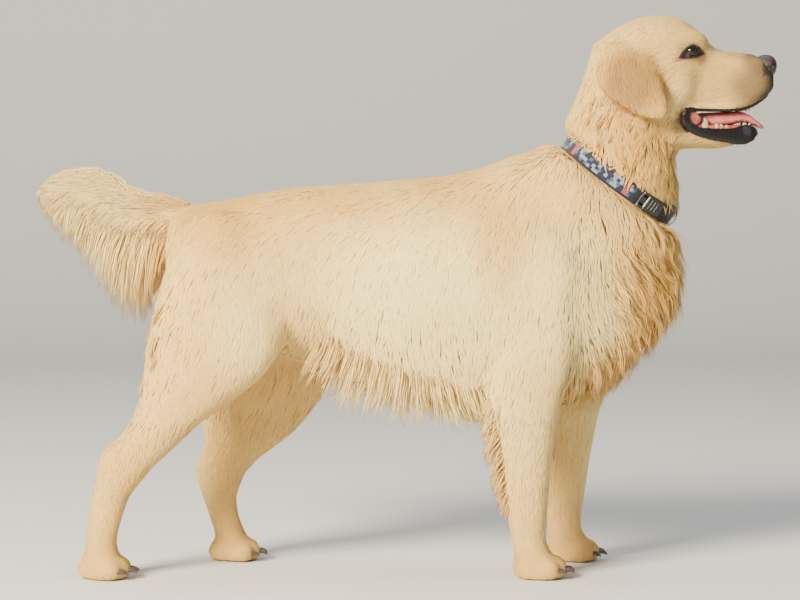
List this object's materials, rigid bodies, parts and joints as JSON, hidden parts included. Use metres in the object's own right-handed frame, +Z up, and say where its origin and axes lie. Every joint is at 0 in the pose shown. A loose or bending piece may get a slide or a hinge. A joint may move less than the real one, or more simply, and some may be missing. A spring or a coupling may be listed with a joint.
{
  "type": "dog",
  "caption": "Life-size standing golden retriever with raised head, open mouth, level plumed tail and a webbing collar with a buckle and a D ring.",
  "frame": {"origin": "on the floor, under the centre of the whole animal's box", "axes": "+X towards the nose, +Y towards the dog's left side, +Z up"},
  "size_m": [1.0416, 0.2525, 0.7826],
  "materials": {
    "coat": "long cream hair, wavy on the chest, feathered on legs and tail",
    "ear coat": "short soft biscuit hair",
    "nose": "damp pebbled skin",
    "tongue": "wet, fine papillae",
    "eye": "wet, dark brown iris",
    "claw": "dark horn",
    "collar": "woven webbing with a plain block pattern",
    "buckle": "moulded, satin",
    "ring": "dark"
  },
  "bodies": {
    "root": {"trunk": "coat", "neck": "coat", "head": "coat", "lower_jaw": "coat", "tail": "coat", "foreleg_feather_right": "coat", "foreleg_right": "coat", "forepaw_right": "coat", "thigh_right": "coat", "lower_hind_leg_right": "coat", "hind_paw_right": "coat", "foreleg_feather_left": "coat", "foreleg_left": "coat", "forepaw_left": "coat", "thigh_left": "coat", "lower_hind_leg_left": "coat", "hind_paw_left": "coat", "ear_right": "ear coat", "ear_left": "ear coat", "eye_right": "eye", "eye_left": "eye", "nose": "nose", "tongue": "tongue", "claw_forepaw_right_1": "claw", "claw_forepaw_right_2": "claw", "claw_forepaw_right_3": "claw", "claw_forepaw_right_4": "claw", "claw_forepaw_left_1": "claw", "claw_forepaw_left_2": "claw", "claw_forepaw_left_3": "claw", "claw_forepaw_left_4": "claw", "claw_hind_paw_right_1": "claw", "claw_hind_paw_right_2": "claw", "claw_hind_paw_right_3": "claw", "claw_hind_paw_right_4": "claw", "claw_hind_paw_left_1": "claw", "claw_hind_paw_left_2": "claw", "claw_hind_paw_left_3": "claw", "claw_hind_paw_left_4": "claw", "collar": "collar", "collar_buckle": "buckle", "collar_ring": "ring"}
  },
  "joints": []
}
